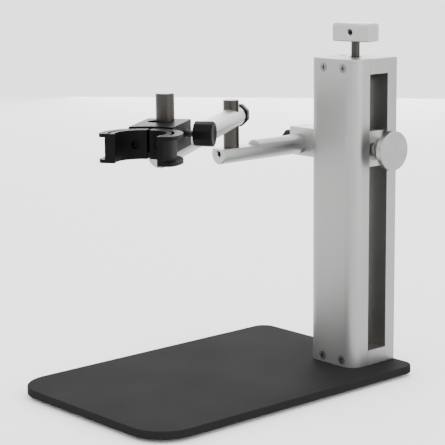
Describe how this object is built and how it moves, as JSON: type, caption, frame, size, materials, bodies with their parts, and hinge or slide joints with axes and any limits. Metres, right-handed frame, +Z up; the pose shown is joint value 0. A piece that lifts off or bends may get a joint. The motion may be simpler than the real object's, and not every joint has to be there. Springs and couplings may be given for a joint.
{
  "type": "microscope focusing stand",
  "caption": "Bench stand for a handheld microscope: screw-driven column, swinging two-piece arm and a clip ring over a flat stage.",
  "frame": {"origin": "Centre of the base plate's top face, where the sample stands.", "axes": "+Z up out of the stage, +Y towards the column, +X towards the quick-release button."},
  "size_m": [0.2464, 0.3295, 0.2818],
  "materials": {
    "base_paint": "fine satin powder coat, dark warm grey",
    "column_aluminium": "satin anodised aluminium",
    "bright_aluminium": "turned and milled aluminium, clear anodised",
    "black_anodised": "black anodised aluminium, satin",
    "steel": "zinc plated and ground steel",
    "dark_steel": "dark nickel plated steel",
    "brass": "turned brass",
    "rubber": "moulded black rubber",
    "black_plastic": "moulded black plastic, satin",
    "nylon": "natural nylon"
  },
  "bodies": {
    "base": {"base_plate": "base_paint", "rubber_feet": "rubber", "foot_screws": "steel", "column_bolts": "steel", "column_front_plate": "column_aluminium", "front_screws": "steel", "column_back_plate": "column_aluminium", "back_screws": "steel", "bottom_block": "column_aluminium", "top_block": "column_aluminium", "guide_rod": "steel", "lower_bush": "brass", "upper_bush": "brass"},
    "focus_screw": {"lead_screw": "dark_steel", "screw_collar": "dark_steel", "collar_set_screw": "dark_steel", "focus_knob": "bright_aluminium", "knob_set_screw": "dark_steel"},
    "carriage": {"carriage": "bright_aluminium", "guide_bushes": "brass", "spring_sleeve": "bright_aluminium", "arm_block": "bright_aluminium", "arm_stud": "steel", "arm_dowel": "steel", "arm_pad": "nylon"},
    "quick_release": {"half_nut": "brass", "release_stem": "steel", "release_button": "bright_aluminium", "release_spring": "steel"},
    "arm_clamp": {"arm_clamp_screw": "dark_steel", "arm_clamp_knob": "black_plastic"},
    "main_arm": {"main_arm": "bright_aluminium", "elbow_post": "dark_steel", "elbow_set_screw": "dark_steel"},
    "second_arm": {"second_arm": "bright_aluminium", "elbow_pad": "nylon", "holder_post": "dark_steel", "holder_set_screw": "dark_steel"},
    "elbow_clamp": {"elbow_clamp_screw": "dark_steel", "elbow_clamp_knob": "black_plastic"},
    "holder": {"holder_block": "black_anodised", "thread_insert": "brass", "left_jaw": "black_anodised", "right_jaw": "black_anodised", "jaw_screws": "black_anodised"},
    "holder_clamp": {"holder_clamp_screw": "dark_steel", "holder_clamp_knob": "black_plastic"}
  },
  "joints": [
    {"name": "focus_turn", "type": "hinge", "parent": "base", "child": "focus_screw", "pos_m": [0.042, 0.111, 0.2584], "axis": [0, 0, 1], "range_deg": [-6690, 26310]},
    {"name": "carriage_slide", "type": "slide", "parent": "base", "child": "carriage", "axis": [0, 0, 1], "range_m": [-0.146, 0.037]},
    {"name": "release_press", "type": "slide", "parent": "carriage", "child": "quick_release", "axis": [-1, 0, 0], "range_m": [0, 0.0025], "stiffness_N_per_m": 1500, "springref_m": -0.003, "deforming": ["release_spring"]},
    {"name": "arm_clamp_turn", "type": "hinge", "parent": "carriage", "child": "arm_clamp", "pos_m": [-0.025, 0.11315, 0.1723], "axis": [-1, 0, 0], "range_deg": [0, 270]},
    {"name": "main_arm_slide", "type": "slide", "parent": "carriage", "child": "main_arm", "axis": [0, 1, 0], "range_m": [-0.006, 0.04]},
    {"name": "elbow_swing", "type": "hinge", "parent": "main_arm", "child": "second_arm", "pos_m": [-0.014, 0.0288, 0.1994], "axis": [0, 0, 1], "range_deg": [-120, 50]},
    {"name": "elbow_clamp_turn", "type": "hinge", "parent": "second_arm", "child": "elbow_clamp", "pos_m": [-0.02329, 0.04207, 0.1994], "axis": [-0.5736, 0.8192, 0], "range_deg": [0, 270]},
    {"name": "holder_swing", "type": "hinge", "parent": "second_arm", "child": "holder", "pos_m": [0.09641, -0.12889, 0.1994], "axis": [0, 0, 1], "range_deg": [-90, 75]},
    {"name": "holder_clamp_turn", "type": "hinge", "parent": "holder", "child": "holder_clamp", "pos_m": [0.10854, -0.1204, 0.213], "axis": [0.8192, 0.5736, 0], "range_deg": [0, 270]}
  ],
  "couplings": [
    {"joint": "focus_turn", "follows": "carriage_slide", "rad_per_m": -3141.6}
  ]
}
